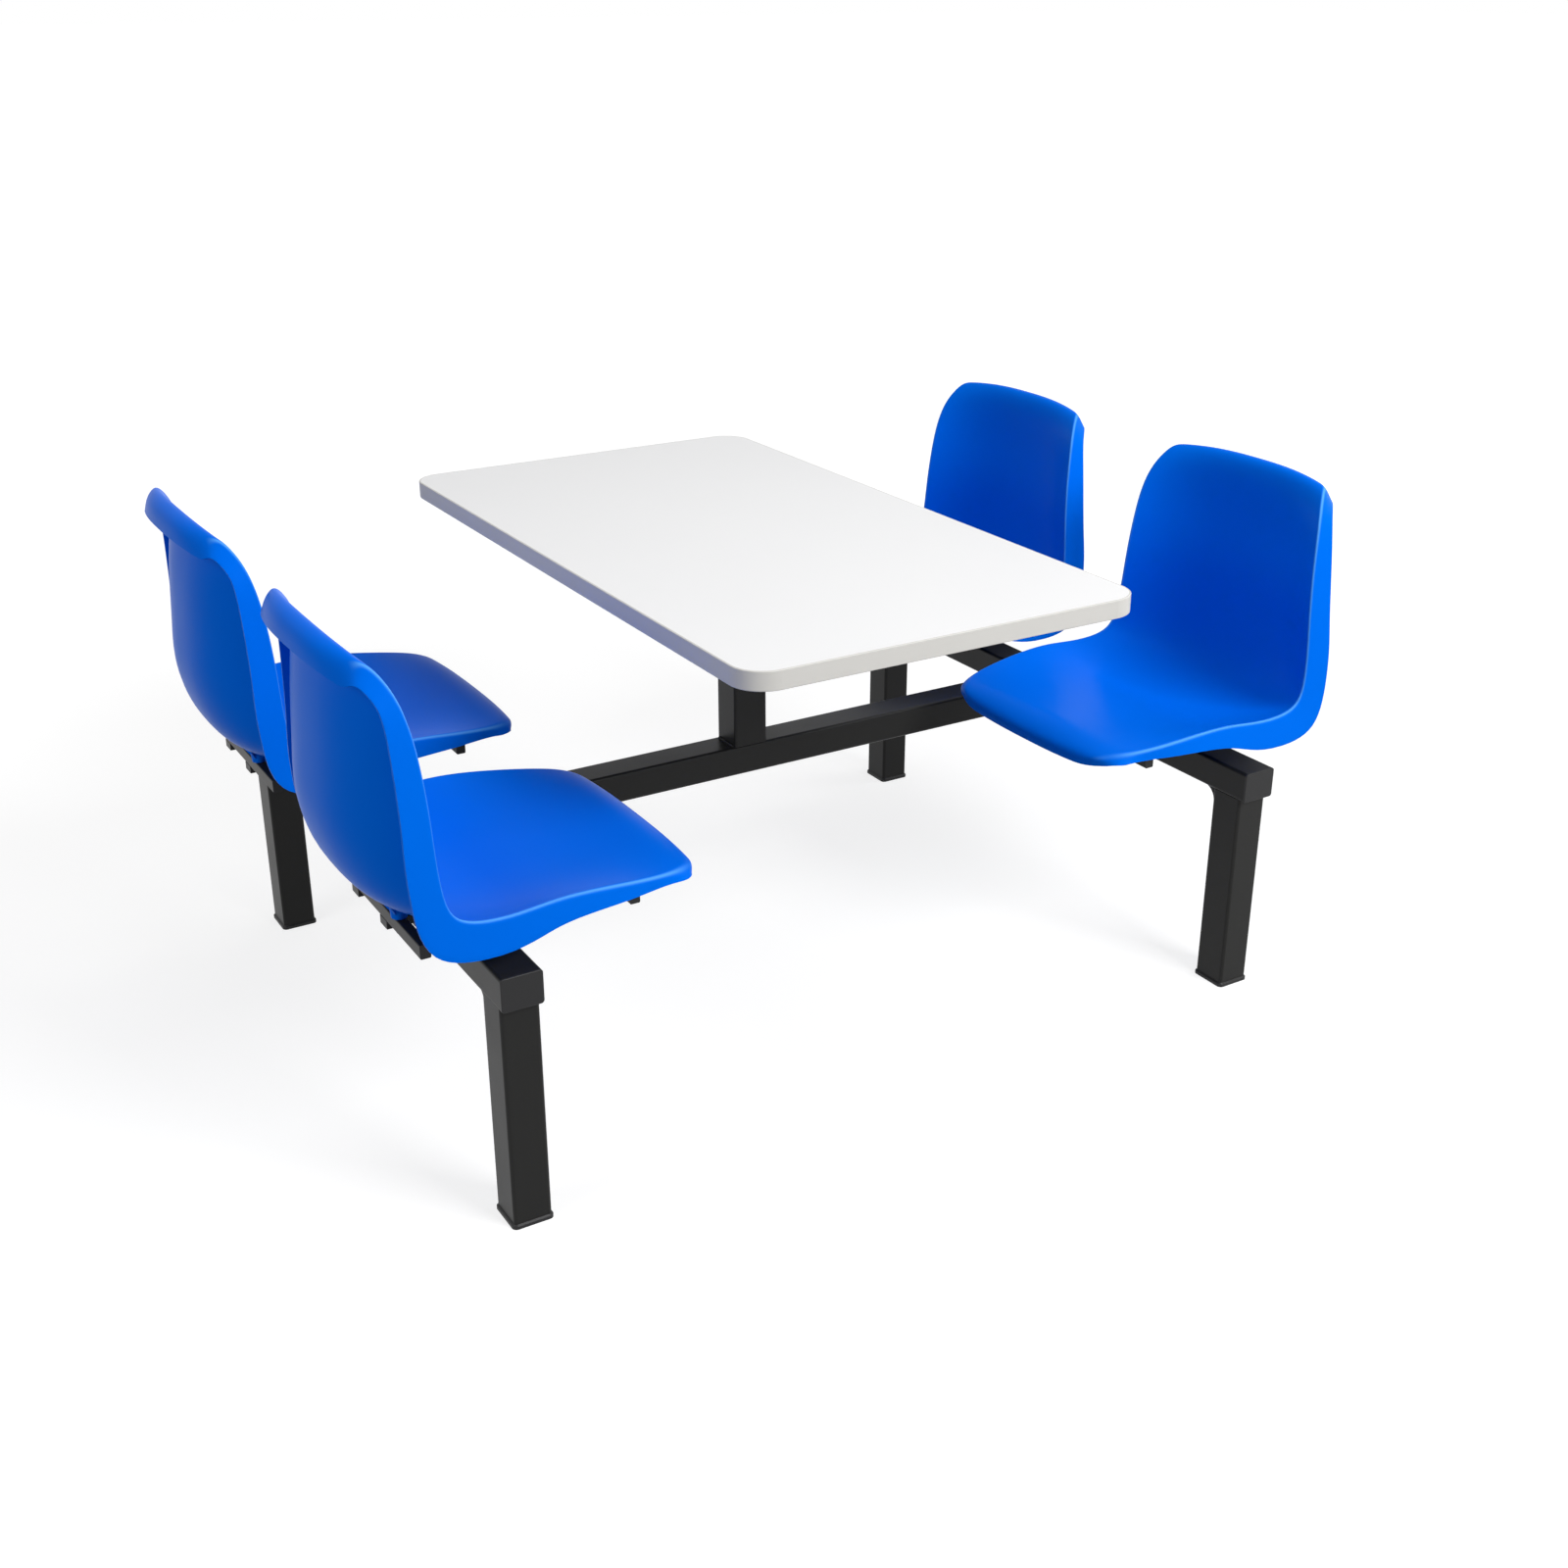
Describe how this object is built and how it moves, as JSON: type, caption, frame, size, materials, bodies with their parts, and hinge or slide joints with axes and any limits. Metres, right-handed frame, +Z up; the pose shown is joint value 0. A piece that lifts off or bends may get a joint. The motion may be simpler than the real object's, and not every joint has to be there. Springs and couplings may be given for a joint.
{
  "type": "table with attached swivel seats",
  "caption": "Rectangular dining table on a centre post, joined by floor-standing beams to swivelling one-piece shell seats that face its long sides.",
  "frame": {"origin": "on the floor at the middle of the unit", "axes": "+Z up, +X from the left seats to the right seats, +Y along the seat rows from the near end to the far end"},
  "size_m": [1.654, 1.18, 0.8282],
  "materials": {
    "laminate_white": "satin white decorative laminate",
    "edge_grey": "light grey plastic edge band",
    "board_core": "raw particle board, fully covered",
    "backer_grey": "plain balancing laminate",
    "frame_black": "fine satin black powder coat on steel",
    "plastic_black": "moulded black plastic",
    "shell_blue": "moulded polypropylene, satin",
    "bush_plastic": "natural acetal",
    "steel_bright": "zinc plated"
  },
  "bodies": {
    "frame": {"beam_end_caps": "plastic_black", "centre_post": "frame_black", "far_left_foot": "plastic_black", "far_left_leg": "frame_black", "far_left_swivel_housing": "frame_black", "far_right_foot": "plastic_black", "far_right_leg": "frame_black", "far_right_swivel_housing": "frame_black", "left_seat_beam": "frame_black", "leg_gussets": "frame_black", "main_beam": "frame_black", "near_left_foot": "plastic_black", "near_left_leg": "frame_black", "near_left_swivel_housing": "frame_black", "near_right_foot": "plastic_black", "near_right_leg": "frame_black", "near_right_swivel_housing": "frame_black", "right_seat_beam": "frame_black", "swivel_bushes": "bush_plastic", "swivel_stops": "frame_black", "table_backer": "backer_grey", "table_board": "board_core", "table_edge_band": "edge_grey", "table_laminate": "laminate_white", "table_screws": "steel_bright", "top_plate": "frame_black"},
    "near_left_seat": {"near_left_shell": "shell_blue", "near_left_rails": "frame_black", "near_left_rail_plugs": "plastic_black", "near_left_arms": "frame_black", "near_left_swivel_plate": "frame_black", "near_left_spindle": "steel_bright", "near_left_spindle_clip": "steel_bright", "near_left_seat_screws": "steel_bright"},
    "far_left_seat": {"far_left_shell": "shell_blue", "far_left_rails": "frame_black", "far_left_rail_plugs": "plastic_black", "far_left_arms": "frame_black", "far_left_swivel_plate": "frame_black", "far_left_spindle": "steel_bright", "far_left_spindle_clip": "steel_bright", "far_left_seat_screws": "steel_bright"},
    "near_right_seat": {"near_right_shell": "shell_blue", "near_right_rails": "frame_black", "near_right_rail_plugs": "plastic_black", "near_right_arms": "frame_black", "near_right_swivel_plate": "frame_black", "near_right_spindle": "steel_bright", "near_right_spindle_clip": "steel_bright", "near_right_seat_screws": "steel_bright"},
    "far_right_seat": {"far_right_shell": "shell_blue", "far_right_rails": "frame_black", "far_right_rail_plugs": "plastic_black", "far_right_arms": "frame_black", "far_right_swivel_plate": "frame_black", "far_right_spindle": "steel_bright", "far_right_spindle_clip": "steel_bright", "far_right_seat_screws": "steel_bright"}
  },
  "joints": [
    {"name": "near_left_swivel", "type": "hinge", "parent": "frame", "child": "near_left_seat", "pos_m": [-0.64, -0.305, 0.4], "axis": [0, 0, 1], "range_deg": [-25, 25]},
    {"name": "far_left_swivel", "type": "hinge", "parent": "frame", "child": "far_left_seat", "pos_m": [-0.64, 0.305, 0.4], "axis": [0, 0, 1], "range_deg": [-25, 25]},
    {"name": "near_right_swivel", "type": "hinge", "parent": "frame", "child": "near_right_seat", "pos_m": [0.64, -0.305, 0.4], "axis": [0, 0, 1], "range_deg": [-25, 25]},
    {"name": "far_right_swivel", "type": "hinge", "parent": "frame", "child": "far_right_seat", "pos_m": [0.64, 0.305, 0.4], "axis": [0, 0, 1], "range_deg": [-25, 25]}
  ]
}
